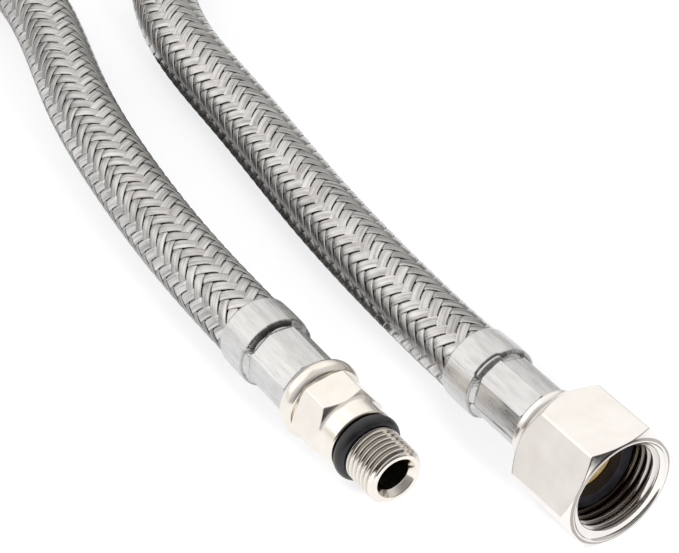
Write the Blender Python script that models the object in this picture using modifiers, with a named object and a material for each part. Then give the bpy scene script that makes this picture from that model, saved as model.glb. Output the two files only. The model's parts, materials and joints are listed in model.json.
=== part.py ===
"""Braided supply line: a steel-braided water hose with a swivel nut on one end and a threaded tail on the other.

Lengths in this file are millimetres until `metres` turns them into Blender's metres. X runs along the nut's
axis and out of its mouth, Z is up, and the object lies on z = 0. Each end has an empty at the centre of its
mouth whose local Z points out of that mouth, so a turned part's heights are negative, towards the hose.
"""
import math

import bmesh
import bpy
import numpy as np
from mathutils import Vector

COLLECTION_NAME = "braided_supply_line"

# Fits between neighbouring pieces.
GAP = 0.3
FLOOR_CLEARANCE = 0.05

# Facets round a turned part and round the hose.
TURNED_SIDES = 32
HOSE_BEVEL_RESOLUTION = 3
HOSE_POINTS = 50

# Swivel nut, G 3/8 pipe thread, 19 mm across flats.
NUT_ACROSS_FLATS = 19.0
NUT_CORNER_RADIUS = NUT_ACROSS_FLATS / math.sqrt(3.0)
NUT_THREAD_RADIUS = 7.475
NUT_MOUTH_RADIUS = 8.9
NUT_RIM_RADIUS = 9.35
NUT_LENGTH = 18.0
NUT_THREAD_LENGTH = 9.0
NUT_SHOULDER_DEPTH = 11.8
NUT_CHAMBER_RADIUS = 7.9
NUT_NECK_HOLE_RADIUS = 5.2
NUT_COLLAR_RADIUS = 6.6

# Flat sealing washer, held in the nut's thread, and the brass nipple behind it.
WASHER_FACE_DEPTH = 6.0
WASHER_THICKNESS = 2.0
WASHER_RADIUS = 7.2
WASHER_HOLE_RADIUS = 5.0
NIPPLE_FLANGE_THICKNESS = 1.5
NIPPLE_FLANGE_RADIUS = 6.9
NIPPLE_NECK_RADIUS = 4.9

# Bore and barbed stem, shared by both end fittings.
BORE_RADIUS = 2.8
STEM_RADIUS = 3.5
BARB_RADIUS = 3.75
BARB_PITCH = 2.6
BARB_COUNT = 5
STEM_LENGTH = 16.6

# Crimped ferrule, the same one on both ends.
FERRULE_LENGTH = 17.8
FERRULE_COLLAR_RADIUS = 6.5
FERRULE_COLLAR_WALL = 0.3
FERRULE_CRIMP_RADIUS = 5.8
FERRULE_CRIMP_WALL = 0.35
FERRULE_CRIMP_LENGTH = 10.3
FERRULE_STEP_LENGTH = 0.9
FERRULE_LIP_THICKNESS = 0.6
FERRULE_LIP_RADIUS = 3.8

# Tail fitting, M10 x 1 thread with an O-ring, 12 mm hexagon and a stop flange.
TAIL_THREAD_RADIUS = 4.95
TAIL_THREAD_LENGTH = 6.9
TAIL_NOSE_CHAMFER = 0.65
TAIL_COUNTERSINK_RADIUS = 3.6
TAIL_COUNTERSINK_DEPTH = 1.1
TAIL_GROOVE_RADIUS = 3.55
TAIL_GROOVE_END = 9.7
TAIL_NECK_RADIUS = 5.75
TAIL_NECK_FILLET = 0.7
TAIL_HEX_FACE = 13.9
TAIL_HEX_END = 19.75
TAIL_ACROSS_FLATS = 12.0
TAIL_CORNER_RADIUS = TAIL_ACROSS_FLATS / math.sqrt(3.0)
TAIL_HEX_CHAMFER = 0.5
TAIL_HEX_TURN = math.radians(5.0)
TAIL_FLANGE_RADIUS = 7.1
TAIL_FLANGE_FACE = 20.1
TAIL_FLANGE_BACK = 23.4
ORING_SECTION_RADIUS = 1.02
ORING_SECTION_HALF_WIDTH = 1.2

# Hose: braid sleeve over a rubber liner.
BRAID_RADIUS = 6.0
BRAID_WALL = 0.55
LINER_RADIUS = 5.1
LINER_WALL = 1.05
HOSE_REST_HEIGHT = BRAID_RADIUS + FLOOR_CLEARANCE

# Where the two ends lie.
NUT_MOUTH = (32.6, 9.7, NUT_ACROSS_FLATS / 2.0)
NUT_DIRECTION = Vector((1.0, 0.0, 0.0))
TAIL_NOSE = (8.8, -14.3, TAIL_FLANGE_RADIUS)
TAIL_YAW = math.radians(-2.0)
TAIL_DIRECTION = Vector((math.cos(TAIL_YAW), math.sin(TAIL_YAW), 0.0))
NUT_FERRULE_FRONT = NUT_LENGTH + GAP
TAIL_FERRULE_FRONT = TAIL_FLANGE_BACK + GAP

# The hose's route between the two ferrule mouths, from the nut to the tail: along the floor, round one wide
# loop and back beside itself.
ROUTE = (
    (-27.0, 10.9, 8.9),
    (-57.0, 14.9, 6.8),
    (-87.0, 19.4, HOSE_REST_HEIGHT),
    (-118.0, 24.7, HOSE_REST_HEIGHT),
    (-148.5, 44.5, HOSE_REST_HEIGHT),
    (-169.5, 75.5, HOSE_REST_HEIGHT),
    (-195.0, 101.0, HOSE_REST_HEIGHT),
    (-230.5, 108.0, HOSE_REST_HEIGHT),
    (-263.0, 91.5, HOSE_REST_HEIGHT),
    (-278.0, 59.5, HOSE_REST_HEIGHT),
    (-270.0, 24.0, HOSE_REST_HEIGHT),
    (-242.5, 1.5, HOSE_REST_HEIGHT),
    (-208.0, -1.5, HOSE_REST_HEIGHT),
    (-172.5, 6.5, HOSE_REST_HEIGHT),
    (-139.0, 6.6, HOSE_REST_HEIGHT),
    (-107.0, -2.5, HOSE_REST_HEIGHT),
    (-78.0, -8.4, HOSE_REST_HEIGHT),
    (-55.0, -11.4, 6.6),
)

STAINLESS = (0.62, 0.62, 0.63)
NICKEL = (0.80, 0.77, 0.72)
BRASS = (0.72, 0.53, 0.24)
BLACK_RUBBER = (0.015, 0.015, 0.017)


def metres(*lengths):
    """Millimetres to metres, as a vector."""
    return Vector(lengths) / 1000.0


def clear_scene():
    for scene_object in list(bpy.data.objects):
        bpy.data.objects.remove(scene_object, do_unlink=True)


def make_collection(name):
    collection = bpy.data.collections.new(name)
    bpy.context.scene.collection.children.link(collection)
    return collection


def make_material(name, color, metallic, roughness):
    material = bpy.data.materials.new(name)
    material.use_nodes = True
    shader = material.node_tree.nodes["Principled BSDF"]
    shader.inputs["Base Color"].default_value = (*color, 1.0)
    shader.inputs["Metallic"].default_value = metallic
    shader.inputs["Roughness"].default_value = roughness
    return material


def make_end(name, mouth, yaw):
    """An empty at a mouth's centre, with its local Z along the end's axis, out of the mouth."""
    end = bpy.data.objects.new(name, None)
    end.location = metres(*mouth)
    end.rotation_euler = (0.0, math.pi / 2.0, yaw)
    parts.objects.link(end)
    return end


def finish_part(part, color, metallic, roughness):
    """Give a part its own material and smooth its round faces."""
    part.data.materials.append(make_material(part.name, color, metallic, roughness))
    part.data.shade_smooth()
    part.data.set_sharp_from_angle(angle=math.radians(30.0))
    return part


def turned(name, end, outline):
    """A turned part: a closed outline of (radius, height), down its outer side first, spun round the axis."""
    profile = bmesh.new()
    corners = [profile.verts.new(metres(radius, 0.0, height)) for radius, height in outline]
    for corner, following in zip(corners, corners[1:] + corners[:1]):
        profile.edges.new((corner, following))
    mesh = bpy.data.meshes.new(name)
    profile.to_mesh(mesh)
    profile.free()
    part = bpy.data.objects.new(name, mesh)
    part.parent = end
    parts.objects.link(part)
    screw = part.modifiers.new("spin", "SCREW")
    screw.axis = "Z"
    screw.steps = TURNED_SIDES
    screw.render_steps = TURNED_SIDES
    screw.use_merge_vertices = True
    screw.merge_threshold = 0.00001
    return part


def cut_flats(part, across_flats, top, bottom, turn=0.0):
    """Cut six spanner flats round a turned part between two heights."""
    depth = across_flats / 2.0
    size = metres(depth, across_flats * 1.5, top - bottom)
    for side in range(6):
        box = bmesh.new()
        bmesh.ops.create_cube(box, size=1.0)
        bmesh.ops.scale(box, vec=size, verts=box.verts)
        bmesh.ops.translate(box, vec=metres(depth * 1.5, 0.0, (top + bottom) / 2.0), verts=box.verts)
        mesh = bpy.data.meshes.new(f"{part.name}_flat")
        box.to_mesh(mesh)
        box.free()
        cutter = bpy.data.objects.new(f"{part.name}_flat_cutter_{side}", mesh)
        cutter.parent = part.parent
        cutter.rotation_euler = (0.0, 0.0, turn + side * math.pi / 3.0)
        cutter.hide_render = True
        cutter.display_type = "WIRE"
        cutters.objects.link(cutter)
        boolean = part.modifiers.new(f"flat_{side}", "BOOLEAN")
        boolean.operation = "DIFFERENCE"
        boolean.solver = "EXACT"
        boolean.object = cutter


def barbed_stem(front):
    """The outer side of a hose stem that starts at height -front, with saw-tooth barbs that grip the liner."""
    outline = [(STEM_RADIUS, -front)]
    first_barb = front + 2.4
    for barb in range(BARB_COUNT):
        lip = first_barb + barb * BARB_PITCH
        outline += [(STEM_RADIUS, -lip), (BARB_RADIUS, -lip - 0.1), (BARB_RADIUS, -lip - 0.5)]
        outline += [(STEM_RADIUS, -lip - BARB_PITCH + 0.3)]
    outline += [(STEM_RADIUS, -front - STEM_LENGTH + 0.5), (BORE_RADIUS + 0.3, -front - STEM_LENGTH)]
    outline += [(BORE_RADIUS, -front - STEM_LENGTH)]
    return outline


def swivel_nut(end):
    """Hexagon nut with a domed back, a short round collar, a threaded socket and a shoulder inside."""
    corner = NUT_CORNER_RADIUS
    outline = [
        (NUT_RIM_RADIUS, 0.0),
        (corner, -0.9),
        (corner, -12.6),
        (9.5, -14.1),
        (8.2, -15.2),
        (7.1, -16.2),
        (NUT_COLLAR_RADIUS, -17.2),
        (NUT_COLLAR_RADIUS, -NUT_LENGTH),
        (NUT_NECK_HOLE_RADIUS, -NUT_LENGTH),
        (NUT_NECK_HOLE_RADIUS, -NUT_SHOULDER_DEPTH),
        (NUT_CHAMBER_RADIUS, -NUT_SHOULDER_DEPTH),
        (NUT_CHAMBER_RADIUS, -NUT_THREAD_LENGTH - 0.4),
        (NUT_THREAD_RADIUS, -NUT_THREAD_LENGTH),
        (NUT_THREAD_RADIUS, -1.4),
        (NUT_MOUTH_RADIUS, 0.0),
    ]
    part = turned("swivel_nut", end, outline)
    cut_flats(part, NUT_ACROSS_FLATS, 1.0, -NUT_LENGTH - 1.0)
    return finish_part(part, NICKEL, 1.0, 0.28)


def sealing_washer(end):
    """Flat rubber washer that seals against the valve."""
    back = -WASHER_FACE_DEPTH - WASHER_THICKNESS
    outline = [
        (WASHER_RADIUS, -WASHER_FACE_DEPTH),
        (WASHER_RADIUS, back),
        (WASHER_HOLE_RADIUS, back),
        (WASHER_HOLE_RADIUS, -WASHER_FACE_DEPTH),
    ]
    return finish_part(turned("sealing_washer", end, outline), BLACK_RUBBER, 0.0, 0.6)


def nut_nipple(end):
    """Brass nipple: a flange that the nut pulls on, a plain neck that it turns on, and the barbed stem."""
    face = -WASHER_FACE_DEPTH - WASHER_THICKNESS - GAP
    flange_back = face - NIPPLE_FLANGE_THICKNESS
    outline = [
        (NIPPLE_FLANGE_RADIUS, face),
        (NIPPLE_FLANGE_RADIUS, flange_back),
        (NIPPLE_NECK_RADIUS, flange_back - 0.4),
        (NIPPLE_NECK_RADIUS, -NUT_LENGTH),
        *barbed_stem(NUT_LENGTH),
        (BORE_RADIUS, face - 0.6),
        (BORE_RADIUS + 0.6, face),
    ]
    return finish_part(turned("nut_nipple", end, outline), BRASS, 1.0, 0.3)


def tail_fitting(end):
    """One-piece tail: threaded nose, O-ring groove, neck, hexagon, stop flange and barbed stem."""
    corner = TAIL_CORNER_RADIUS
    neck_end = -TAIL_HEX_FACE + TAIL_NECK_FILLET
    thread = TAIL_THREAD_RADIUS
    outline = [
        (thread - TAIL_NOSE_CHAMFER, 0.0),
        (thread, -TAIL_NOSE_CHAMFER),
        (thread, -TAIL_THREAD_LENGTH),
        (TAIL_GROOVE_RADIUS, -TAIL_THREAD_LENGTH - 0.05),
        (TAIL_GROOVE_RADIUS, -TAIL_GROOVE_END),
        (TAIL_NECK_RADIUS - 0.2, -TAIL_GROOVE_END),
        (TAIL_NECK_RADIUS, -TAIL_GROOVE_END - 0.2),
        (TAIL_NECK_RADIUS, neck_end),
        (TAIL_NECK_RADIUS + 0.2, neck_end - 0.45),
        (TAIL_NECK_RADIUS + 0.6, -TAIL_HEX_FACE),
        (corner, -TAIL_HEX_FACE - TAIL_HEX_CHAMFER),
        (corner, -TAIL_HEX_END + TAIL_HEX_CHAMFER),
        (corner - TAIL_HEX_CHAMFER, -TAIL_HEX_END),
        (TAIL_NECK_RADIUS, -TAIL_HEX_END),
        (TAIL_NECK_RADIUS, -TAIL_FLANGE_FACE),
        (6.45, -TAIL_FLANGE_FACE),
        (6.85, -TAIL_FLANGE_FACE - 0.7),
        (TAIL_FLANGE_RADIUS, -TAIL_FLANGE_FACE - 1.7),
        (TAIL_FLANGE_RADIUS, -TAIL_FLANGE_FACE - 2.2),
        (6.7, -TAIL_FLANGE_BACK + 0.4),
        (6.1, -TAIL_FLANGE_BACK),
        *barbed_stem(TAIL_FLANGE_BACK),
        (BORE_RADIUS, -TAIL_COUNTERSINK_DEPTH),
        (TAIL_COUNTERSINK_RADIUS, 0.0),
    ]
    part = turned("tail_fitting", end, outline)
    cut_flats(part, TAIL_ACROSS_FLATS, -TAIL_HEX_FACE + 1.0, -TAIL_HEX_END - 0.15, TAIL_HEX_TURN)
    return finish_part(part, NICKEL, 1.0, 0.25)


def tail_oring(end):
    """O-ring in the groove behind the thread: an oval section spun round the axis."""
    centre_radius = TAIL_GROOVE_RADIUS + GAP + ORING_SECTION_RADIUS
    centre_height = -(TAIL_THREAD_LENGTH + TAIL_GROOVE_END) / 2.0
    outline = []
    for step in range(12):
        angle = 2.0 * math.pi * step / 12.0
        radius = centre_radius + ORING_SECTION_RADIUS * math.sin(angle)
        outline.append((radius, centre_height + ORING_SECTION_HALF_WIDTH * math.cos(angle)))
    return finish_part(turned("tail_oring", end, outline), BLACK_RUBBER, 0.0, 0.45)


def ferrule(name, end, front):
    """Stainless ferrule: a lip round the stem, a long crimped body and a wider collar round the braid."""
    crimp = FERRULE_CRIMP_RADIUS
    collar = FERRULE_COLLAR_RADIUS
    step_start = -front - FERRULE_CRIMP_LENGTH
    step_end = step_start - FERRULE_STEP_LENGTH
    mouth = -front - FERRULE_LENGTH
    inner_lip = -front - FERRULE_LIP_THICKNESS
    outline = [
        (crimp - 0.4, -front),
        (crimp, -front - 0.6),
        (crimp, step_start),
        (collar, step_end),
        (collar, mouth),
        (collar - FERRULE_COLLAR_WALL, mouth),
        (collar - FERRULE_COLLAR_WALL, step_end),
        (crimp - FERRULE_CRIMP_WALL, step_start - 0.2),
        (crimp - FERRULE_CRIMP_WALL, inner_lip),
        (FERRULE_LIP_RADIUS, inner_lip),
        (FERRULE_LIP_RADIUS, -front),
    ]
    return finish_part(turned(name, end, outline), STAINLESS, 1.0, 0.35)


def smooth_curve(points, start_direction, end_direction, count):
    """Evenly spaced points along the cubic spline through `points`, clamped to a direction at each end."""
    knots = np.array(points)
    spans = np.linalg.norm(np.diff(knots, axis=0), axis=1)
    rises = np.diff(knots, axis=0) / spans[:, None]
    size = len(knots)
    system = np.eye(size)
    slopes = np.zeros((size, 3))
    slopes[0] = start_direction
    slopes[-1] = end_direction
    for knot in range(1, size - 1):
        before, after = spans[knot - 1], spans[knot]
        system[knot, knot - 1:knot + 2] = (after, 2.0 * (before + after), before)
        slopes[knot] = 3.0 * (after * rises[knot - 1] + before * rises[knot])
    slopes = np.linalg.solve(system, slopes)
    fine = []
    for knot in range(size - 1):
        share = np.linspace(0.0, 1.0, 40, endpoint=knot == size - 2)[:, None]
        span = spans[knot]
        fine.append(
            (1 + 2 * share) * (1 - share) ** 2 * knots[knot]
            + share * (1 - share) ** 2 * span * slopes[knot]
            + share ** 2 * (3 - 2 * share) * knots[knot + 1]
            - share ** 2 * (1 - share) * span * slopes[knot + 1]
        )
    fine = np.concatenate(fine)
    travelled = np.concatenate([[0.0], np.cumsum(np.linalg.norm(np.diff(fine, axis=0), axis=1))])
    even = np.linspace(0.0, travelled[-1], count)
    return [Vector([float(np.interp(at, travelled, fine[:, axis])) for axis in range(3)]) for at in even]


def hose_centreline():
    """The hose's centreline from the nut ferrule's mouth to the tail ferrule's mouth."""
    nut_mouth = Vector(NUT_MOUTH) - NUT_DIRECTION * (NUT_FERRULE_FRONT + FERRULE_LENGTH)
    tail_mouth = Vector(TAIL_NOSE) - TAIL_DIRECTION * (TAIL_FERRULE_FRONT + FERRULE_LENGTH)
    stops = [tuple(nut_mouth), *ROUTE, tuple(tail_mouth)]
    points = smooth_curve(stops, tuple(-NUT_DIRECTION), tuple(TAIL_DIRECTION), HOSE_POINTS)
    for point in points:
        point.z = max(point.z, HOSE_REST_HEIGHT)
    return points


def hose_layer(name, centreline, radius, wall, reach, color, metallic, roughness):
    """One layer of the hose, a hollow tube that goes straight on into each ferrule by `reach`."""
    into_nut = centreline[0] + NUT_DIRECTION * reach
    into_tail = centreline[-1] + TAIL_DIRECTION * reach
    points = [into_nut, *centreline, into_tail]
    curve = bpy.data.curves.new(name, "CURVE")
    curve.dimensions = "3D"
    curve.bevel_depth = radius / 1000.0
    curve.bevel_resolution = HOSE_BEVEL_RESOLUTION
    curve.use_fill_caps = False
    spline = curve.splines.new("POLY")
    spline.points.add(len(points) - 1)
    for spline_point, point in zip(spline.points, points):
        spline_point.co = (*metres(*point), 1.0)
    guide = bpy.data.objects.new(f"{name}_guide", curve)
    cutters.objects.link(guide)
    bpy.context.view_layer.update()
    evaluated = guide.evaluated_get(bpy.context.evaluated_depsgraph_get())
    mesh = bpy.data.meshes.new_from_object(evaluated)
    mesh.name = name
    bpy.data.objects.remove(guide, do_unlink=True)
    part = bpy.data.objects.new(name, mesh)
    parts.objects.link(part)
    shell = part.modifiers.new("wall", "SOLIDIFY")
    shell.thickness = wall / 1000.0
    shell.offset = -1.0
    shell.use_even_offset = True
    return finish_part(part, color, metallic, roughness)


clear_scene()
parts = make_collection(COLLECTION_NAME)
cutters = make_collection("cutters")

nut_end = make_end("nut_end", NUT_MOUTH, 0.0)
tail_end = make_end("tail_end", TAIL_NOSE, TAIL_YAW)

swivel_nut(nut_end)
sealing_washer(nut_end)
nut_nipple(nut_end)
ferrule("nut_ferrule", nut_end, NUT_FERRULE_FRONT)
tail_fitting(tail_end)
tail_oring(tail_end)
ferrule("tail_ferrule", tail_end, TAIL_FERRULE_FRONT)

hose = hose_centreline()
braid_reach = FERRULE_LENGTH - FERRULE_CRIMP_LENGTH - FERRULE_STEP_LENGTH - GAP
liner_reach = FERRULE_LENGTH - FERRULE_LIP_THICKNESS - GAP
hose_layer("braid_sleeve", hose, BRAID_RADIUS, BRAID_WALL, braid_reach, STAINLESS, 1.0, 0.4)
hose_layer("inner_tube", hose, LINER_RADIUS, LINER_WALL, liner_reach, BLACK_RUBBER, 0.0, 0.6)
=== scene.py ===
"""Looks of the braided supply line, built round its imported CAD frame.

Sizes are millimetres until a mesh is made; the row frame is metres. Every turned piece is drawn in its end's
own frame, where Z runs out of the mouth, and each piece rides on the CAD body that it belongs to.
"""
import json
import math

import bpy
import numpy as np
from mathutils import Matrix, Vector


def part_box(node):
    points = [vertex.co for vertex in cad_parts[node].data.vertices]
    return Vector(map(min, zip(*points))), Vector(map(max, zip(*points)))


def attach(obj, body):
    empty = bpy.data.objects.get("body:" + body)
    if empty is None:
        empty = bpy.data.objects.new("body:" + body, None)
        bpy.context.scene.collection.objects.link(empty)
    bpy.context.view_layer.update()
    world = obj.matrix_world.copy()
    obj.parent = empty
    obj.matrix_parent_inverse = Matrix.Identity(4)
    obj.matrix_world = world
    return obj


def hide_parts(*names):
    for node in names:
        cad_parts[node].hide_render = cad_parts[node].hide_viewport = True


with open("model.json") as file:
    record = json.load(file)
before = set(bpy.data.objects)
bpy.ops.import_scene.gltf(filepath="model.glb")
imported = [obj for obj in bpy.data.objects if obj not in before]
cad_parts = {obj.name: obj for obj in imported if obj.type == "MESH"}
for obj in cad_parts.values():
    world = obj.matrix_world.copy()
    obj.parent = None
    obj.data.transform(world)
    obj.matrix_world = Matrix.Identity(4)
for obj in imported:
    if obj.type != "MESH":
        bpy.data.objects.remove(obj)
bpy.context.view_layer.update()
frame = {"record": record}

MM = 0.001
TURN = 2.0 * math.pi

# Camera: the photograph's viewpoint and lens.
CAMERA_PLACE = (0.23873, -0.18077, 0.27933)
CAMERA_TILT = math.radians(50.678)
CAMERA_YAW = math.radians(55.748)
CAMERA_ROLL = math.radians(-0.974)
CAMERA_SENSOR = 36.0
CAMERA_LENS = 137.26

# Swivel nut, G 3/8 and 19 mm across flats.
NUT_LENGTH = 18.0
NUT_ACROSS_FLATS = 19.0
NUT_CORNER_RADIUS = NUT_ACROSS_FLATS / math.sqrt(3.0)
NUT_THREAD_PITCH = 1.337
NUT_THREAD_CREST = 7.475
NUT_THREAD_ROOT = 8.3
NUT_THREAD_END = 9.0
NUT_BACK_BORE_RADIUS = 5.2
WASHER_FACE_DEPTH = 6.0
WASHER_THICKNESS = 2.0
FIT_GAP = 0.3
STEM_REACH = 16.6

# Tail fitting, M10 x 1.
TAIL_THREAD_PITCH = 1.0
TAIL_THREAD_CREST = 4.95
TAIL_THREAD_ROOT = 4.36
TAIL_THREAD_END = 6.9
TAIL_ACROSS_FLATS = 12.0
TAIL_CORNER_RADIUS = TAIL_ACROSS_FLATS / math.sqrt(3.0)
TAIL_HEX_TURN = math.radians(5.0)
TAIL_FLANGE_BACK = 23.4
BORE_RADIUS = 2.8
STEM_RADIUS = 3.5

# Crimped ferrule.
FERRULE_LENGTH = 17.8
FERRULE_CRIMP_LENGTH = 10.3
FERRULE_CRIMP_RADIUS = 5.8
FERRULE_COLLAR_RADIUS = 6.5
FERRULE_JAWS = 8
JAW_FLATNESS = 0.042
JAW_SHIFT = 0.45
JAW_BLEND_START = 0.86
SEAM_WIDTH = 0.16
STEP_SLOPE_LENGTH = 0.75
STEP_GROOVE_DEPTH = 0.26
STEP_GROOVE_WIDTH = 0.22
COLLAR_BULGE = 0.10
COLLAR_BULGE_LENGTH = 6.0

# O-ring: the middle of its section and its half sizes across and along the tail.
ORING_MIDDLE_RADIUS = 4.87
ORING_HALF_THICKNESS = 1.02
ORING_HALF_WIDTH = 1.25
ORING_GROOVE_END = 9.7

# How finely the turned pieces are divided: columns round the axis, and the longest side along the outline.
PLAIN_COLUMNS = 128
NUT_COLUMNS = 360
NUT_OUTLINE_STEP = 0.1
TAIL_COLUMNS = 288
TAIL_OUTLINE_STEP = 0.09
FERRULE_COLUMNS = 288
FERRULE_OUTLINE_STEP = 0.12

# How softly the flats of the hexagons meet each other and the turned surfaces.
NUT_EDGE_BLEND = 0.22
TAIL_EDGE_BLEND = 0.18
CHAMFER_BLEND = 0.10

# Hose.
HOSE_REST_HEIGHT = 6.05
LINER_RADIUS = 5.3

# Braid: ribbons wound each way, each going over two of the others and under the next two.
RIBBONS = 12
WIRES = 7
RIBBON_FILL = 0.89
RIBBON_CROWN = 0.05
WIRE_RADIUS = 0.11
BRAID_RADIUS = 5.76
BRAID_RELIEF = 0.16
WEAVE_FLATNESS = 2.4
BRAID_INTO_FERRULE = 4.0
RING_SPACING = 0.36

# Braid lead: the length of one turn, and how much shorter it gets where the braid bunches up at each end.
# A bunching runs out between two distances from the ferrule's mouth.
BRAID_LEAD = 32.6
NUT_END_BUNCHING = 3.2
NUT_BUNCHING_SPAN = (10.0, 32.0)
TAIL_END_BUNCHING = 1.1
TAIL_BUNCHING_SPAN = (15.0, 30.0)

# Where the weave starts at the nut, and what the middle share of the hose adds to it to suit the tail.
BRAID_PHASE = math.radians(-18.4)
BRAID_SHIFT = 1.2
LOOP_TWIST = math.radians(-3.0)
LOOP_WINDING = math.radians(7.3)
LOOP_SHARE = (0.4, 0.6)

# The range that a noise texture's values mostly stay in.
NOISE_LOW = 0.3
NOISE_HIGH = 0.7

# Dark strip of painted shade on the floor beside the nut side of the hose, seen only in reflections: its two
# ends, counted in rings along the hose, the rings between two of its corners, its two edges' distances from
# the hose's centreline, and its height.
CARD_RINGS = (60, 330)
CARD_STEP = 10
CARD_NEAR = 4.0
CARD_FAR = 17.0
CARD_HEIGHT = 0.4

# Soft light in the sky: the direction it comes from, the cosines where it starts and is full, and its amount.
SKY_PATCHES = (
    ((0.0, 0.0, 1.0), -1.5, 1.0, 0.75),
    ((-0.64, 0.44, 0.63), 0.75, 0.95, 0.42),
    ((-0.64, -0.77, 0.10), 0.75, 0.95, 0.40),
    ((-0.60, -0.45, 0.66), 0.80, 0.95, 0.50),
    ((0.95, -0.15, 0.20), 0.40, 0.80, -0.52),
)

# Small lamp that looks into the nut's mouth, in metres and watts.
MOUTH_LIGHT_PLACE = (0.20, -0.03, 0.09)
MOUTH_LIGHT_TARGET = (0.024, 0.0097, 0.0095)
MOUTH_LIGHT_SIZE = 0.03
MOUTH_LIGHT_POWER = 0.4

# The hose's route in metres, from the nut ferrule's mouth to the tail ferrule's mouth.
ROUTE = (
    (-0.0270, 0.0109, 0.0089),
    (-0.0570, 0.0149, 0.0068),
    (-0.0870, 0.0194, 0.00605),
    (-0.1180, 0.0247, 0.00605),
    (-0.1485, 0.0445, 0.00605),
    (-0.1695, 0.0755, 0.00605),
    (-0.1950, 0.1010, 0.00605),
    (-0.2305, 0.1080, 0.00605),
    (-0.2630, 0.0915, 0.00605),
    (-0.2780, 0.0595, 0.00605),
    (-0.2700, 0.0240, 0.00605),
    (-0.2425, 0.0015, 0.00605),
    (-0.2080, -0.0015, 0.00605),
    (-0.1725, 0.0065, 0.00605),
    (-0.1390, 0.0066, 0.00605),
    (-0.1070, -0.0025, 0.00605),
    (-0.0780, -0.0084, 0.00605),
    (-0.0550, -0.0114, 0.0066),
)


def smooth_step(value, low, high):
    """0 below low, 1 above high and a smooth rise between."""
    share = np.clip((value - low) / (high - low), 0.0, 1.0)
    return share * share * (3.0 - 2.0 * share)


def soft_min(first, second, blend):
    """The smaller of two values, with the corner between them rounded over about `blend`."""
    share = np.clip(0.5 + 0.5 * (second - first) / blend, 0.0, 1.0)
    return second + (first - second) * share - blend * share * (1.0 - share)


# --- Meshes -------------------------------------------------------------------------------------------------


def grid_mesh(name, points, close_rows=False):
    """A mesh of quads from a (rows, columns, 3) grid of points in millimetres, closed round its columns."""
    rows, columns = points.shape[:2]
    index = np.arange(rows * columns).reshape(rows, columns)
    if close_rows:
        index = np.concatenate([index, index[:1]])
    index = np.concatenate([index, index[:, :1]], axis=1)
    quads = np.stack([index[:-1, :-1], index[1:, :-1], index[1:, 1:], index[:-1, 1:]], axis=-1)
    return quad_mesh(name, points.reshape(-1, 3), quads.reshape(-1, 4))


def quad_mesh(name, points, quads):
    """A smooth-shaded mesh from points in millimetres and four point numbers for each face."""
    mesh = bpy.data.meshes.new(name)
    mesh.vertices.add(len(points))
    mesh.vertices.foreach_set("co", (points * MM).astype(np.float32).ravel())
    mesh.loops.add(quads.size)
    mesh.loops.foreach_set("vertex_index", quads.astype(np.int32).ravel())
    mesh.polygons.add(len(quads))
    mesh.polygons.foreach_set("loop_start", np.arange(0, quads.size, 4, dtype=np.int32))
    mesh.update(calc_edges=True)
    mesh.shade_smooth()
    return mesh


def mark_painted_shade(mesh, painted_shade):
    """Store how strongly painted shade darkens the metal's colour at each point of a grid mesh, from 0 to 1.
    """
    attribute = mesh.attributes.new("painted_shade", "FLOAT", "POINT")
    attribute.data.foreach_set("value", np.clip(painted_shade, 0.0, 1.0).astype(np.float32).ravel())
    return mesh


def add_piece(name, mesh, place, body, material, material_slot, *nodes):
    """Show a mesh as a piece: put it in place, give it its finish and let it ride on its CAD body."""
    piece = bpy.data.objects.new(name, mesh)
    bpy.context.scene.collection.objects.link(piece)
    piece.matrix_world = place
    mesh.materials.append(material)
    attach(piece, body)
    if nodes:
        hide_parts(*nodes)
    return piece


def filleted(corners, steps=5):
    """A closed outline of (radius, height, fillet) corners as points, each corner rounded by its fillet."""
    points = []
    count = len(corners)
    for number, (radius, height, fillet) in enumerate(corners):
        corner = np.array((radius, height))
        before = np.array(corners[number - 1][:2]) - corner
        after = np.array(corners[(number + 1) % count][:2]) - corner
        if fillet == 0.0:
            points.append(corner)
            continue
        reach_before = min(fillet, 0.45 * np.linalg.norm(before))
        reach_after = min(fillet, 0.45 * np.linalg.norm(after))
        start = corner + before / np.linalg.norm(before) * reach_before
        end = corner + after / np.linalg.norm(after) * reach_after
        for share in np.linspace(0.0, 1.0, steps):
            points.append((1 - share) ** 2 * start + 2 * share * (1 - share) * corner + share ** 2 * end)
    return np.array(points)


def subdivided(outline, longest):
    """The closed outline with no side longer than `longest`."""
    points = []
    for start, end in zip(outline, np.roll(outline, -1, axis=0)):
        pieces = max(1, math.ceil(np.linalg.norm(end - start) / longest))
        for piece in range(pieces):
            points.append(start + (end - start) * piece / pieces)
    return np.array(points)


def turned_grid(outline, columns):
    """Radius, height and angle grids of an outline spun round the axis."""
    angle = np.linspace(0.0, TURN, columns, endpoint=False)
    radius = np.repeat(outline[:, :1], columns, axis=1)
    height = np.repeat(outline[:, 1:], columns, axis=1)
    return radius, height, np.broadcast_to(angle, radius.shape)


def turned_points(radius, height, angle):
    """Points in an end's own frame from grids of radius, height and angle."""
    return np.stack([radius * np.cos(angle), radius * np.sin(angle), height], axis=-1)


def plain_turned_mesh(name, outline):
    """A mesh of a closed outline spun round the axis, with nothing cut into it."""
    return grid_mesh(name, turned_points(*turned_grid(outline, PLAIN_COLUMNS)), close_rows=True)


def hexagon_radius(angle, across_flats, turn, rounding):
    """Distance from the axis to a hexagon's side at each angle, with rounded corners."""
    side = TURN / 6.0
    inside = np.mod(angle - turn + side / 2.0, side) - side / 2.0
    flat = across_flats / 2.0
    near = flat / np.cos(inside)
    beside = flat / np.cos(side - np.abs(inside))
    return soft_min(near, beside, rounding)


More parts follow.
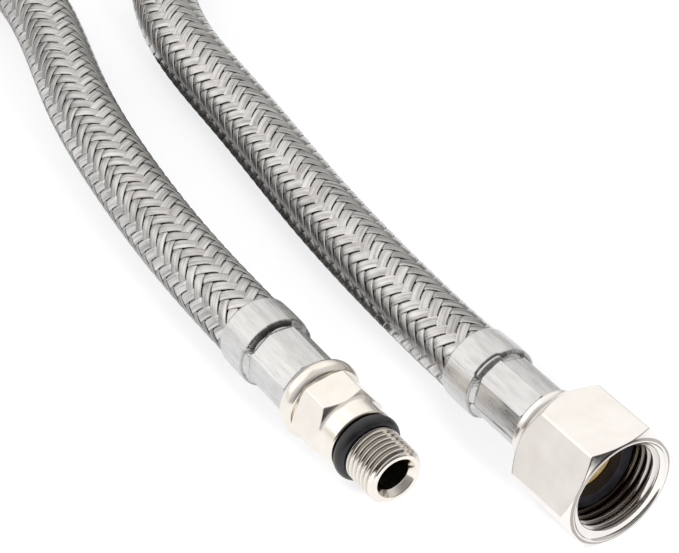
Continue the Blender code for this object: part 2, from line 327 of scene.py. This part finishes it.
def thread_height(height, angle, pitch):
    """0 at a right-handed thread's root and 1 at its crest."""
    phase = np.mod(height / pitch - angle / TURN, 1.0)
    ramp = 1.0 - np.abs(2.0 * phase - 1.0)
    return np.clip(0.5 + (ramp - 0.5) * 1.25, 0.0, 1.0) ** 0.9


# --- Materials ----------------------------------------------------------------------------------------------


def new_material(name):
    """A new material with its node tree and its shader."""
    material = bpy.data.materials.new(name)
    material.use_nodes = True
    return material, material.node_tree, material.node_tree.nodes["Principled BSDF"]


def noise_node(tree, coordinates, scale, detail, stretch=(1.0, 1.0, 1.0)):
    """A noise texture over coordinates that are first stretched along each axis."""
    mapping = tree.nodes.new("ShaderNodeMapping")
    mapping.inputs["Scale"].default_value = stretch
    tree.links.new(coordinates, mapping.inputs["Vector"])
    noise = tree.nodes.new("ShaderNodeTexNoise")
    noise.inputs["Scale"].default_value = scale
    noise.inputs["Detail"].default_value = detail
    tree.links.new(mapping.outputs["Vector"], noise.inputs["Vector"])
    return noise.outputs["Fac"]


def mapped(tree, noise, low, high):
    """A value that goes from low to high as the noise goes through its usual range."""
    node = tree.nodes.new("ShaderNodeMapRange")
    node.inputs["From Min"].default_value = NOISE_LOW
    node.inputs["From Max"].default_value = NOISE_HIGH
    node.inputs["To Min"].default_value = low
    node.inputs["To Max"].default_value = high
    tree.links.new(noise, node.inputs["Value"])
    return node.outputs["Result"]


def ramped(tree, noise, low_color, high_color):
    """A color that goes from one to the other as the noise goes through its usual range."""
    node = tree.nodes.new("ShaderNodeValToRGB")
    node.color_ramp.elements[0].position = NOISE_LOW
    node.color_ramp.elements[0].color = (*low_color, 1.0)
    node.color_ramp.elements[1].position = NOISE_HIGH
    node.color_ramp.elements[1].color = (*high_color, 1.0)
    tree.links.new(noise, node.inputs["Fac"])
    return node.outputs["Color"]


def bumped(tree, value, shader, depth):
    """Bump of `depth` metres from a value of 0 to 1."""
    bump = tree.nodes.new("ShaderNodeBump")
    bump.inputs["Strength"].default_value = 1.0
    bump.inputs["Distance"].default_value = depth
    tree.links.new(value, bump.inputs["Height"])
    tree.links.new(bump.outputs["Normal"], shader.inputs["Normal"])


def with_painted_shade(tree, bright, painted_shade_color):
    """The bright color, turning to a painted shade color where the mesh's points are marked with painted
    shade.
    """
    painted_shade = tree.nodes.new("ShaderNodeAttribute")
    painted_shade.attribute_name = "painted_shade"
    mix = tree.nodes.new("ShaderNodeMix")
    mix.data_type = "RGBA"
    colors = [socket for socket in mix.inputs if socket.type == "RGBA"]
    colors[1].default_value = (*painted_shade_color, 1.0)
    tree.links.new(painted_shade.outputs["Fac"], mix.inputs[0])
    tree.links.new(bright, colors[0])
    return next(socket for socket in mix.outputs if socket.type == "RGBA")


def object_coordinates(tree):
    return tree.nodes.new("ShaderNodeTexCoord").outputs["Object"]


def plated_material(name, dark, light, roughness, grain_depth):
    """Nickel plate: a bright warm metal with a faint cloudiness and grain, with painted brown shade in its
    threads.
    """
    material, tree, shader = new_material(name)
    place = object_coordinates(tree)
    cloud = noise_node(tree, place, 260.0, 3.0)
    grain = noise_node(tree, place, 3200.0, 2.0)
    # The brown is painted shade, laid where a mesh marks it: in the nut's socket, in thread roots and along
    # the nut's front rim.
    plate = with_painted_shade(tree, ramped(tree, cloud, dark, light), (0.10, 0.075, 0.055))
    tree.links.new(plate, shader.inputs["Base Color"])
    tree.links.new(mapped(tree, cloud, *roughness), shader.inputs["Roughness"])
    shader.inputs["Metallic"].default_value = 1.0
    bumped(tree, grain, shader, grain_depth)
    return material


def ferrule_material():
    """Crimped stainless sheet: satin, with lengthwise draw marks and streaks, and painted shade over its
    step.
    """
    material, tree, shader = new_material("ferrule_steel")
    place = object_coordinates(tree)
    streak = noise_node(tree, place, 1100.0, 3.0, (1.0, 1.0, 0.22))
    marks = noise_node(tree, place, 2600.0, 2.0, (1.0, 1.0, 0.08))
    steel = ramped(tree, streak, (0.54, 0.535, 0.53), (0.70, 0.695, 0.69))
    # The near black is painted shade, laid where the mesh marks it over the crimp step.
    tree.links.new(with_painted_shade(tree, steel, (0.06, 0.055, 0.055)), shader.inputs["Base Color"])
    tree.links.new(mapped(tree, streak, 0.22, 0.36), shader.inputs["Roughness"])
    shader.inputs["Metallic"].default_value = 1.0
    bumped(tree, marks, shader, 0.00007)
    return material


def braid_material():
    """Fine stainless wire: streaks that follow each wire, from the ribbon's own coordinates."""
    material, tree, shader = new_material("braid_steel")
    ribbon = tree.nodes.new("ShaderNodeAttribute")
    ribbon.attribute_name = "ribbon"
    streak = noise_node(tree, ribbon.outputs["Vector"], 1.0, 2.0, (3.5, 0.16, 5.0))
    tree.links.new(ramped(tree, streak, (0.34, 0.33, 0.32), (0.74, 0.73, 0.715)), shader.inputs["Base Color"])
    tree.links.new(mapped(tree, streak, 0.2, 0.34), shader.inputs["Roughness"])
    shader.inputs["Metallic"].default_value = 1.0
    return material


def brass_material():
    """Dull turned brass with a little tarnish."""
    material, tree, shader = new_material("brass")
    place = object_coordinates(tree)
    tarnish = noise_node(tree, place, 700.0, 3.0)
    tree.links.new(ramped(tree, tarnish, (0.72, 0.47, 0.17), (0.98, 0.74, 0.36)), shader.inputs["Base Color"])
    tree.links.new(mapped(tree, tarnish, 0.35, 0.5), shader.inputs["Roughness"])
    shader.inputs["Metallic"].default_value = 0.55
    return material


def rubber_material(name, roughness, grain_depth):
    """Black rubber with a dusty bloom and a fine moulded grain."""
    material, tree, shader = new_material(name)
    place = object_coordinates(tree)
    bloom = noise_node(tree, place, 500.0, 4.0)
    grain = noise_node(tree, place, 4000.0, 2.0)
    rubber = ramped(tree, bloom, (0.006, 0.006, 0.008), (0.016, 0.016, 0.019))
    tree.links.new(rubber, shader.inputs["Base Color"])
    tree.links.new(mapped(tree, bloom, *roughness), shader.inputs["Roughness"])
    bumped(tree, grain, shader, grain_depth)
    return material


# --- Ends ---------------------------------------------------------------------------------------------------


def end_place(mouth, direction):
    """The matrix of an end's own frame: Z out of the mouth, Y level to the left, X down."""
    forward = Vector(direction).normalized()
    left = Vector((0.0, 0.0, 1.0)).cross(forward).normalized()
    down = left.cross(forward)
    place = Matrix((down, left, forward)).transposed().to_4x4()
    place.translation = Vector(mouth)
    return place


def nut_mesh():
    """Hexagon nut, chamfered at both ends, with a domed back, a collar and a threaded socket."""
    corner = NUT_CORNER_RADIUS
    bore = NUT_BACK_BORE_RADIUS
    outline = filleted((
        (9.25, 0.0, 0.12),
        (9.45, -0.12, 0.1),
        (corner + 0.05, -0.95, 0.0),
        (corner + 0.05, -12.5, 0.0),
        (9.5, -14.05, 0.5),
        (8.2, -15.2, 0.9),
        (6.9, -16.3, 0.7),
        (6.6, -17.2, 0.3),
        (6.6, -NUT_LENGTH, 0.15),
        (bore, -NUT_LENGTH, 0.1),
        (bore, -11.8, 0.1),
        (7.9, -11.8, 0.2),
        (7.9, -NUT_THREAD_END - 0.4, 0.1),
        (NUT_THREAD_ROOT, -NUT_THREAD_END, 0.0),
        (NUT_THREAD_ROOT, -0.75, 0.0),
        (8.75, -0.25, 0.1),
        (8.9, 0.0, 0.12),
    ))
    outline = subdivided(outline, NUT_OUTLINE_STEP)
    radius, height, angle = turned_grid(outline, NUT_COLUMNS)
    outer = np.arange(len(outline))[:, None] < int(np.argmax(outline[:, 1] <= -NUT_LENGTH + 0.01))
    hexagon = hexagon_radius(angle, NUT_ACROSS_FLATS, 0.0, NUT_EDGE_BLEND)
    radius = np.where(outer, soft_min(radius, hexagon, CHAMFER_BLEND), radius)
    inner = ~outer & (height > -NUT_THREAD_END) & (radius < 8.95)
    crest = thread_height(height, angle, NUT_THREAD_PITCH)
    depth = (NUT_THREAD_ROOT - NUT_THREAD_CREST) * smooth_step(-height, 0.35, 0.9)
    depth = depth * smooth_step(NUT_THREAD_END + height, 0.0, 0.5)
    radius = np.where(inner, radius - depth * crest, radius)
    inside = ~outer & (radius < 8.6)
    # Painted shade: the socket's colour darkens the deeper it goes, and the thread roots are darkened as
    # well.
    painted_socket_shade = 0.95 * smooth_step(-height, 1.2, 5.5)
    painted_root_shade = 0.5 * (1.0 - crest) * smooth_step(-height, 0.6, 1.5)
    painted_shade = np.where(inside, painted_socket_shade + painted_root_shade, 0.0)
    # Painted shade: a dark line laid round the outer edge of the front rim.
    painted_shade = np.where(outer & (height > -0.2), 0.6, painted_shade)
    mesh = grid_mesh("swivel_nut_shown", turned_points(radius, height, angle), close_rows=True)
    return mark_painted_shade(mesh, painted_shade)


def washer_mesh():
    """Flat sealing washer inside the nut."""
    face = -WASHER_FACE_DEPTH
    back = face - WASHER_THICKNESS
    outline = filleted(((7.2, face, 0.25), (7.2, back, 0.25), (5.0, back, 0.2), (5.0, face, 0.2)))
    return plain_turned_mesh("sealing_washer_shown", outline)


def nipple_mesh():
    """Brass nipple with a raised lip round its bore."""
    face = -WASHER_FACE_DEPTH - WASHER_THICKNESS - FIT_GAP
    stem_end = -NUT_LENGTH - STEM_REACH
    outline = filleted((
        (6.9, face, 0.2),
        (6.9, face - 1.5, 0.1),
        (4.9, face - 1.9, 0.1),
        (4.9, -NUT_LENGTH, 0.0),
        (STEM_RADIUS, -NUT_LENGTH, 0.0),
        (STEM_RADIUS, stem_end + 0.5, 0.1),
        (BORE_RADIUS + 0.3, stem_end, 0.1),
        (BORE_RADIUS, stem_end, 0.0),
        (BORE_RADIUS, face - 0.8, 0.2),
        (BORE_RADIUS + 0.7, face, 0.3),
    ))
    return plain_turned_mesh("nut_nipple_shown", outline)


def tail_mesh():
    """Tail fitting: threaded nose, O-ring groove, neck, hexagon, bright stop ring and stem."""
    corner = TAIL_CORNER_RADIUS
    stem_end = -TAIL_FLANGE_BACK - STEM_REACH
    outline = filleted((
        (4.2, 0.0, 0.12),
        (TAIL_THREAD_CREST, -0.75, 0.0),
        (TAIL_THREAD_CREST, -TAIL_THREAD_END + 0.25, 0.1),
        (4.2, -TAIL_THREAD_END, 0.1),
        (3.55, -TAIL_THREAD_END - 0.05, 0.1),
        (3.55, -ORING_GROOVE_END, 0.1),
        (5.55, -ORING_GROOVE_END, 0.1),
        (5.75, -9.9, 0.1),
        (5.75, -13.0, 0.4),
        (6.0, -13.55, 0.4),
        (6.45, -13.9, 0.1),
        (corner + 0.05, -14.35, 0.0),
        (corner + 0.05, -19.4, 0.0),
        (6.3, -19.75, 0.1),
        (5.9, -19.78, 0.0),
        (5.9, -20.08, 0.0),
        (6.5, -20.1, 0.15),
        (6.95, -20.75, 0.6),
        (7.12, -21.6, 0.8),
        (6.98, -22.6, 0.8),
        (6.3, -23.38, 0.4),
        (5.6, -TAIL_FLANGE_BACK, 0.1),
        (STEM_RADIUS, -TAIL_FLANGE_BACK, 0.1),
        (STEM_RADIUS, stem_end + 0.5, 0.1),
        (BORE_RADIUS + 0.3, stem_end, 0.0),
        (BORE_RADIUS, stem_end, 0.0),
        (BORE_RADIUS, -1.2, 0.1),
        (3.6, 0.0, 0.12),
    ))
    outline = subdivided(outline, TAIL_OUTLINE_STEP)
    radius, height, angle = turned_grid(outline, TAIL_COLUMNS)
    hexagon = hexagon_radius(angle, TAIL_ACROSS_FLATS, TAIL_HEX_TURN, TAIL_EDGE_BLEND)
    on_hexagon = (height < -13.3) & (height > -19.77) & (radius > 5.0)
    radius = np.where(on_hexagon, soft_min(radius, hexagon, CHAMFER_BLEND), radius)
    on_thread = (height > -TAIL_THREAD_END) & (radius > 4.0)
    crest = thread_height(height, angle, TAIL_THREAD_PITCH)
    depth = (TAIL_THREAD_CREST - TAIL_THREAD_ROOT) * smooth_step(TAIL_THREAD_END + height, 0.1, 0.8)
    thread = TAIL_THREAD_CREST - depth * (1.0 - crest)
    radius = np.where(on_thread, soft_min(radius, thread, 0.06), radius)
    # Painted shade: the thread roots are darkened.
    painted_shade = np.where(on_thread & (height < -0.7), 0.55 * (1.0 - crest), 0.0)
    mesh = grid_mesh("tail_fitting_shown", turned_points(radius, height, angle), close_rows=True)
    return mark_painted_shade(mesh, painted_shade)


def oring_mesh():
    """O-ring with an oval section, in the groove behind the tail's thread."""
    middle = -(TAIL_THREAD_END + ORING_GROOVE_END) / 2.0
    turn = np.linspace(0.0, TURN, 40, endpoint=False)
    radius = ORING_MIDDLE_RADIUS + ORING_HALF_THICKNESS * np.sin(turn)
    outline = np.stack([radius, middle + ORING_HALF_WIDTH * np.cos(turn)], axis=-1)
    return plain_turned_mesh("tail_oring_shown", outline)


def ferrule_mesh(name, front, jaw_turn, seam_height, seed):
    """Crimped ferrule: jaw flats with thin raised seams between them, an uneven step and a smooth collar."""
    crimp = FERRULE_CRIMP_RADIUS
    collar = FERRULE_COLLAR_RADIUS
    step = -front - FERRULE_CRIMP_LENGTH - 0.45
    mouth = -front - FERRULE_LENGTH
    outline = filleted((
        (crimp - 0.35, -front, 0.2),
        (crimp, -front - 0.5, 0.3),
        (crimp, step, 0.0),
        (collar, mouth + 0.5, 0.3),
        (collar - 0.12, mouth, 0.1),
        (collar - 0.3, mouth, 0.08),
        (collar - 0.3, step - 0.5, 0.2),
        (crimp - 0.35, step + 0.2, 0.2),
        (crimp - 0.35, -front - 0.6, 0.0),
        (3.8, -front - 0.6, 0.0),
        (3.8, -front, 0.0),
    ))
    outline = subdivided(outline, FERRULE_OUTLINE_STEP)
    radius, height, angle = turned_grid(outline, FERRULE_COLUMNS)
    inner_start = int(np.argmax(outline[:, 1] <= mouth + 0.01))
    outer = (np.arange(len(outline))[:, None] < inner_start) & (height < -front - 0.45)
    jaw = TURN / FERRULE_JAWS
    within = np.mod(angle - jaw_turn, jaw) / jaw
    number = np.floor_divide(np.mod(angle - jaw_turn, TURN), jaw).astype(int)
    draws = np.random.default_rng(seed)
    shifts = draws.uniform(-JAW_SHIFT, JAW_SHIFT, FERRULE_JAWS)
    following = shifts[(number + 1) % FERRULE_JAWS]
    edge = step + shifts[number] + (following - shifts[number]) * smooth_step(within, JAW_BLEND_START, 1.0)
    past_step = smooth_step(edge - height, 0.0, STEP_SLOPE_LENGTH)
    flat = crimp * (1.0 - JAW_FLATNESS * np.sin(np.pi * within))
    from_seam = np.minimum(within, 1.0 - within) * jaw * crimp
    seam = seam_height * np.exp(-((from_seam / SEAM_WIDTH) ** 2))
    groove = STEP_GROOVE_DEPTH * np.exp(-(((height - edge - 0.12) / STEP_GROOVE_WIDTH) ** 2))
    bulge = COLLAR_BULGE * np.sin(np.pi * np.clip((edge - height) / COLLAR_BULGE_LENGTH, 0.0, 1.0))
    crimped = flat + seam - groove
    shaped = crimped + (collar + bulge - crimped) * past_step
    end_round = soft_min(shaped, collar - 0.12 + (height - mouth) * 0.6, 0.2)
    radius = np.where(outer, end_round, radius)
    # Painted shade over the crimp step and the slope just behind it.
    painted_step_shade = np.where(outer, 0.9 * np.exp(-(((height - edge + 0.16) / 0.36) ** 2)), 0.0)
    mesh = grid_mesh(name, turned_points(radius, height, angle), close_rows=True)
    return mark_painted_shade(mesh, painted_step_shade)


# --- Hose ---------------------------------------------------------------------------------------------------


def smooth_curve(points, start_direction, end_direction, spacing):
    """Evenly spaced points along the cubic spline through `points`, clamped to a direction at each end."""
    knots = np.array(points)
    spans = np.linalg.norm(np.diff(knots, axis=0), axis=1)
    rises = np.diff(knots, axis=0) / spans[:, None]
    size = len(knots)
    system = np.eye(size)
    slopes = np.zeros((size, 3))
    slopes[0] = start_direction
    slopes[-1] = end_direction
    for knot in range(1, size - 1):
        before, after = spans[knot - 1], spans[knot]
        system[knot, knot - 1:knot + 2] = (after, 2.0 * (before + after), before)
        slopes[knot] = 3.0 * (after * rises[knot - 1] + before * rises[knot])
    slopes = np.linalg.solve(system, slopes)
    fine = []
    for knot in range(size - 1):
        share = np.linspace(0.0, 1.0, 200, endpoint=knot == size - 2)[:, None]
        span = spans[knot]
        fine.append(
            (1 + 2 * share) * (1 - share) ** 2 * knots[knot]
            + share * (1 - share) ** 2 * span * slopes[knot]
            + share ** 2 * (3 - 2 * share) * knots[knot + 1]
            - share ** 2 * (1 - share) * span * slopes[knot + 1]
        )
    fine = np.concatenate(fine)
    travelled = np.concatenate([[0.0], np.cumsum(np.linalg.norm(np.diff(fine, axis=0), axis=1))])
    count = round(travelled[-1] / spacing) + 1
    even = np.linspace(0.0, travelled[-1], count)
    return np.stack([np.interp(even, travelled, fine[:, axis]) for axis in range(3)], axis=-1)


class Hose:
    """The hose's centreline in millimetres, with a frame that doesn't twist along it."""

    def __init__(self, nut_mouth, nut_direction, tail_mouth, tail_direction):
        stops = [nut_mouth, *[tuple(Vector(stop) / MM) for stop in ROUTE], tail_mouth]
        line = smooth_curve(stops, -nut_direction, tail_direction, RING_SPACING)
        line[:, 2] = np.maximum(line[:, 2], HOSE_REST_HEIGHT)
        self.visible_line = line
        spacing = np.linalg.norm(line[1] - line[0])
        extra = math.ceil(BRAID_INTO_FERRULE / spacing)
        into_nut = [line[0] + nut_direction * spacing * step for step in range(extra, 0, -1)]
        into_tail = [line[-1] + tail_direction * spacing * step for step in range(1, extra + 1)]
        self.line = np.array([*into_nut, *line, *into_tail])
        steps = np.linalg.norm(np.diff(self.line, axis=0), axis=1)
        self.along = np.concatenate([[0.0], np.cumsum(steps)]) - extra * spacing
        self.ahead = np.gradient(self.line, axis=0)
        self.ahead /= np.linalg.norm(self.ahead, axis=1)[:, None]
        self.up = np.zeros_like(self.line)
        current = np.array((0.0, 0.0, 1.0))
        for step, ahead in enumerate(self.ahead):
            current = current - ahead * (current @ ahead)
            current /= np.linalg.norm(current)
            self.up[step] = current
        self.side = np.cross(self.ahead, self.up)
        total = self.along[-1] - BRAID_INTO_FERRULE
        loop = smooth_step(self.along, *(share * total for share in LOOP_SHARE))
        nut_bunching = 1.0 - smooth_step(self.along, *NUT_BUNCHING_SPAN)
        tail_bunching = 1.0 - smooth_step(total - self.along, *TAIL_BUNCHING_SPAN)
        self.lead = BRAID_LEAD - NUT_END_BUNCHING * nut_bunching - TAIL_END_BUNCHING * tail_bunching
        turns = np.concatenate([[0.0], np.cumsum(steps / (0.5 * (self.lead[1:] + self.lead[:-1])))])
        turns -= np.interp(BRAID_SHIFT, self.along, turns)
        # The winding turns the two sets of ribbons opposite ways; the twist turns them both the same way.
        self.winding = TURN * turns + LOOP_WINDING * loop
        self.twist = BRAID_PHASE + LOOP_TWIST * loop

    def points(self, along, angle, radius):
        """Points in the row frame from a distance along the hose, an angle round it and a radius."""
        place = np.interp(along, self.along, np.arange(len(self.along)))
        low = np.clip(np.floor(place).astype(int), 0, len(self.along) - 2)
        share = (place - low)[..., None]
        centre = self.line[low] * (1 - share) + self.line[low + 1] * share
        up = self.up[low] * (1 - share) + self.up[low + 1] * share
        side = self.side[low] * (1 - share) + self.side[low + 1] * share
        return centre + radius[..., None] * (np.cos(angle)[..., None] * up + np.sin(angle)[..., None] * side)


def liner_mesh(hose):
    """The rubber tube, which only shows between the ribbons."""
    along = hose.along[::6]
    angle = np.linspace(0.0, TURN, 48, endpoint=False)
    along_grid, angle_grid = np.meshgrid(along, angle, indexing="ij")
    points = hose.points(along_grid, angle_grid, np.full(along_grid.shape, LINER_RADIUS))
    return grid_mesh("inner_tube_shown", points)


def ribbon_section():
    """One ribbon's cross-section: offsets across it, from -0.5 to 0.5 and back, and heights at them."""
    across = np.linspace(-0.5, 0.5, 2 * WIRES + 1)
    top = np.where(np.arange(2 * WIRES + 1) % 2 == 1, WIRE_RADIUS, 0.25 * WIRE_RADIUS)
    top[0] = top[-1] = 0.0
    offsets = np.concatenate([across, (0.45, 0.0, -0.45)])
    heights = np.concatenate([top, (-WIRE_RADIUS, -WIRE_RADIUS, -WIRE_RADIUS)])
    return offsets, heights


def ribbon_grid(hose, direction, number):
    """One ribbon's grid of points: it winds round the hose over two ribbons and under the next two."""
    offsets, heights = ribbon_section()
    lean = np.arctan(TURN * BRAID_RADIUS / hose.lead)[:, None]
    width = RIBBON_FILL * hose.lead[:, None] / RIBBONS * np.sin(lean)
    across = width * offsets
    along = hose.along[:, None] + across * np.sin(lean)
    start = hose.twist + TURN * number / RIBBONS + direction * hose.winding
    angle = start[:, None] - direction * across * np.cos(lean) / BRAID_RADIUS
    winding = np.interp(along, hose.along, hose.winding)
    twist = np.interp(along, hose.along, hose.twist)
    other = (angle - twist + direction * winding) * RIBBONS / TURN
    weave = np.cos(TURN * (number + other - 0.5) / 4.0) * direction
    lift = BRAID_RELIEF * np.tanh(WEAVE_FLATNESS * weave) / math.tanh(WEAVE_FLATNESS)
    crown = RIBBON_CROWN * (1.0 - (2.0 * offsets) ** 2)
    radius = BRAID_RADIUS + lift + heights + crown
    points = hose.points(along, angle, radius)
    # The third ribbon coordinate is far apart for any two ribbons, so that no two look the same.
    ribbon = np.stack([
        np.broadcast_to(offsets, along.shape),
        along,
        np.full(along.shape, number * 3.7 + direction * 41.0),
    ], axis=-1)
    return points, ribbon


def braid_mesh(name, hose, direction, numbers):
    """Several ribbons that wind the same way, as one mesh with each point's ribbon coordinates."""
    grids = [ribbon_grid(hose, direction, number) for number in numbers]
    places = []
    quads = []
    offset = 0
    for points, _ in grids:
        rows, columns = points.shape[:2]
        index = np.arange(rows * columns).reshape(rows, columns) + offset
        index = np.concatenate([index, index[:, :1]], axis=1)
        faces = np.stack([index[:-1, :-1], index[:-1, 1:], index[1:, 1:], index[1:, :-1]], axis=-1)
        quads.append(faces.reshape(-1, 4))
        places.append(points.reshape(-1, 3))
        offset += rows * columns
    mesh = quad_mesh(name, np.concatenate(places), np.concatenate(quads))
    attribute = mesh.attributes.new("ribbon", "FLOAT_VECTOR", "POINT")
    values = np.concatenate([ribbon.reshape(-1, 3) for _, ribbon in grids])
    attribute.data.foreach_set("vector", values.astype(np.float32).ravel())
    return mesh


# --- The object ---------------------------------------------------------------------------------------------

nut_low, nut_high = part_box("swivel_nut")
tail_low, tail_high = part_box("tail_fitting")
mounts = {mount["name"]: mount for mount in frame["record"]["mounts"]}
nut_direction = Vector(mounts["washer_face"]["axis"])
tail_direction = Vector(mounts["tail_nose"]["axis"])
nut_mouth = Vector((nut_high.x, (nut_low.y + nut_high.y) / 2.0, (nut_low.z + nut_high.z) / 2.0))
tail_nose = Vector((*mounts["tail_nose"]["pos_m"][:2], (tail_low.z + tail_high.z) / 2.0))
nut_place = end_place(nut_mouth, nut_direction)
tail_place = end_place(tail_nose, tail_direction)
row_place = Matrix.Identity(4)

nut_front = NUT_LENGTH + FIT_GAP
tail_front = TAIL_FLANGE_BACK + FIT_GAP
hose = Hose(
    np.array(nut_mouth) / MM - np.array(nut_direction) * (nut_front + FERRULE_LENGTH),
    np.array(nut_direction),
    np.array(tail_nose) / MM - np.array(tail_direction) * (tail_front + FERRULE_LENGTH),
    np.array(tail_direction),
)

nickel = plated_material("nickel_nut", (0.82, 0.785, 0.745), (0.875, 0.85, 0.815), (0.13, 0.2), 0.000004)
tail_nickel = plated_material("nickel_tail", (0.82, 0.77, 0.70), (0.88, 0.84, 0.78), (0.10, 0.18), 0.000003)
ferrule_steel = ferrule_material()
braid_steel = braid_material()
washer_rubber = rubber_material("washer_rubber", (0.5, 0.7), 0.00001)
oring_rubber = rubber_material("oring_rubber", (0.3, 0.42), 0.000004)
liner_rubber = rubber_material("liner_rubber", (0.5, 0.7), 0.00001)

add_piece("swivel_nut_shown", nut_mesh(), nut_place, "nut", nickel, "nickel_nut", "swivel_nut")
add_piece(
    "sealing_washer_shown",
    washer_mesh(),
    nut_place,
    "washer",
    washer_rubber,
    "washer_rubber",
    "sealing_washer",
)
add_piece("nut_nipple_shown", nipple_mesh(), nut_place, "hose", brass_material(), "brass", "nut_nipple")
add_piece("tail_fitting_shown", tail_mesh(), tail_place, "hose", tail_nickel, "nickel_tail", "tail_fitting")
add_piece("tail_oring_shown", oring_mesh(), tail_place, "hose", oring_rubber, "oring_rubber", "tail_oring")
nut_ferrule = ferrule_mesh("nut_ferrule_shown", nut_front, jaw_turn=0.1, seam_height=0.10, seed=3)
add_piece("nut_ferrule_shown", nut_ferrule, nut_place, "hose", ferrule_steel, "ferrule_steel", "nut_ferrule")
tail_ferrule = ferrule_mesh("tail_ferrule_shown", tail_front, jaw_turn=0.3, seam_height=0.05, seed=8)
add_piece(
    "tail_ferrule_shown",
    tail_ferrule,
    tail_place,
    "hose",
    ferrule_steel,
    "ferrule_steel",
    "tail_ferrule",
)

tube = liner_mesh(hose)
liner = add_piece("inner_tube_shown", tube, row_place, "hose", liner_rubber, "liner_rubber", "inner_tube")
for hand, direction in (("right", 1.0), ("left", -1.0)):
    for group in range(4):
        name = f"braid_{hand}_{group + 1}"
        mesh = braid_mesh(name, hose, direction, range(group, RIBBONS, 4))
        add_piece(name, mesh, row_place, "hose", braid_steel, "braid_steel", "braid_sleeve")

# --- Studio -------------------------------------------------------------------------------------------------


def floor_piece():
    """Pale matt floor, lit partly by its own glow so that it stays nearly free of shadows."""
    mesh = bpy.data.meshes.new("floor")
    mesh.from_pydata([(-3, -3, 0), (3, -3, 0), (3, 3, 0), (-3, 3, 0)], [], [(0, 1, 2, 3)])
    floor = bpy.data.objects.new("floor", mesh)
    bpy.context.scene.collection.objects.link(floor)
    material, _, shader = new_material("floor_paper")
    shader.inputs["Base Color"].default_value = (0.40, 0.40, 0.405, 1.0)
    shader.inputs["Roughness"].default_value = 0.9
    shader.inputs["Specular IOR Level"].default_value = 0.0
    shader.inputs["Emission Color"].default_value = (0.985, 0.99, 1.0, 1.0)
    shader.inputs["Emission Strength"].default_value = 0.72
    mesh.materials.append(material)


def painted_shade_card(hose):
    """A dark strip of painted shade on the floor beside the nut side of the hose, which only reflections see.
    """
    line = hose.visible_line[slice(*CARD_RINGS, CARD_STEP)]
    points = []
    for x, y, _ in line:
        points.append(Vector((x, y - CARD_NEAR, CARD_HEIGHT)) * MM)
        points.append(Vector((x, y - CARD_FAR, CARD_HEIGHT)) * MM)
    faces = [(2 * step, 2 * step + 1, 2 * step + 3, 2 * step + 2) for step in range(len(line) - 1)]
    mesh = bpy.data.meshes.new("painted_shade_card")
    mesh.from_pydata(points, [], faces)
    card = bpy.data.objects.new("painted_shade_card", mesh)
    bpy.context.scene.collection.objects.link(card)
    material, _, shader = new_material("painted_shade_card_black")
    shader.inputs["Base Color"].default_value = (0.08, 0.075, 0.07, 1.0)
    shader.inputs["Roughness"].default_value = 1.0
    mesh.materials.append(material)
    card.visible_camera = False
    card.visible_diffuse = False
    card.visible_shadow = False


def world_patch(tree, direction, low, high, amount):
    """`amount` of light from the part of the sky round a direction, fading out at its edge."""
    place = tree.nodes.new("ShaderNodeTexCoord").outputs["Generated"]
    toward = tree.nodes.new("ShaderNodeVectorMath")
    toward.operation = "DOT_PRODUCT"
    toward.inputs[1].default_value = Vector(direction).normalized()
    tree.links.new(place, toward.inputs[0])
    patch = tree.nodes.new("ShaderNodeMapRange")
    patch.interpolation_type = "SMOOTHSTEP"
    patch.inputs["From Min"].default_value = low
    patch.inputs["From Max"].default_value = high
    patch.inputs["To Min"].default_value = 0.0
    patch.inputs["To Max"].default_value = amount
    tree.links.new(toward.outputs["Value"], patch.inputs["Value"])
    return patch.outputs["Result"]


def sky():
    """A world that looks plain white to the camera and lights the rest with the sum of its soft patches."""
    world = bpy.data.worlds.new("studio")
    bpy.context.scene.world = world
    world.use_nodes = True
    tree = world.node_tree
    total = world_patch(tree, *SKY_PATCHES[0])
    for patch in SKY_PATCHES[1:]:
        add = tree.nodes.new("ShaderNodeMath")
        add.operation = "ADD"
        tree.links.new(total, add.inputs[0])
        tree.links.new(world_patch(tree, *patch), add.inputs[1])
        total = add.outputs[0]
    lit = tree.nodes["Background"]
    lit.inputs["Color"].default_value = (1.0, 0.985, 0.965, 1.0)
    tree.links.new(total, lit.inputs["Strength"])
    seen = tree.nodes.new("ShaderNodeBackground")
    seen.inputs["Color"].default_value = (1.0, 1.0, 1.0, 1.0)
    mix = tree.nodes.new("ShaderNodeMixShader")
    path = tree.nodes.new("ShaderNodeLightPath")
    tree.links.new(path.outputs["Is Camera Ray"], mix.inputs[0])
    tree.links.new(lit.outputs[0], mix.inputs[1])
    tree.links.new(seen.outputs[0], mix.inputs[2])
    tree.links.new(mix.outputs[0], tree.nodes["World Output"].inputs["Surface"])
    bpy.context.scene.view_settings.view_transform = "Standard"


def mouth_light():
    """A small lamp that shows the brass inside the nut and is left out of reflections."""
    light = bpy.data.lights.new("mouth_light", "AREA")
    light.size = MOUTH_LIGHT_SIZE
    light.energy = MOUTH_LIGHT_POWER
    lamp = bpy.data.objects.new("mouth_light", light)
    bpy.context.scene.collection.objects.link(lamp)
    aim = Vector(MOUTH_LIGHT_TARGET) - Vector(MOUTH_LIGHT_PLACE)
    lamp.location = MOUTH_LIGHT_PLACE
    lamp.rotation_euler = aim.to_track_quat("-Z", "Y").to_euler()
    lamp.visible_glossy = False


def make_camera():
    """The camera at the photograph's viewpoint."""
    camera = bpy.data.cameras.new("camera")
    camera.sensor_width = CAMERA_SENSOR
    camera.lens = CAMERA_LENS
    camera.clip_start = 0.01
    holder = bpy.data.objects.new("camera", camera)
    bpy.context.scene.collection.objects.link(holder)
    aim = Matrix.Rotation(CAMERA_YAW, 4, "Z") @ Matrix.Rotation(CAMERA_TILT, 4, "X")
    holder.matrix_world = Matrix.Translation(CAMERA_PLACE) @ aim @ Matrix.Rotation(CAMERA_ROLL, 4, "Z")
    bpy.context.scene.camera = holder


floor_piece()
painted_shade_card(hose)
sky()
mouth_light()
make_camera()
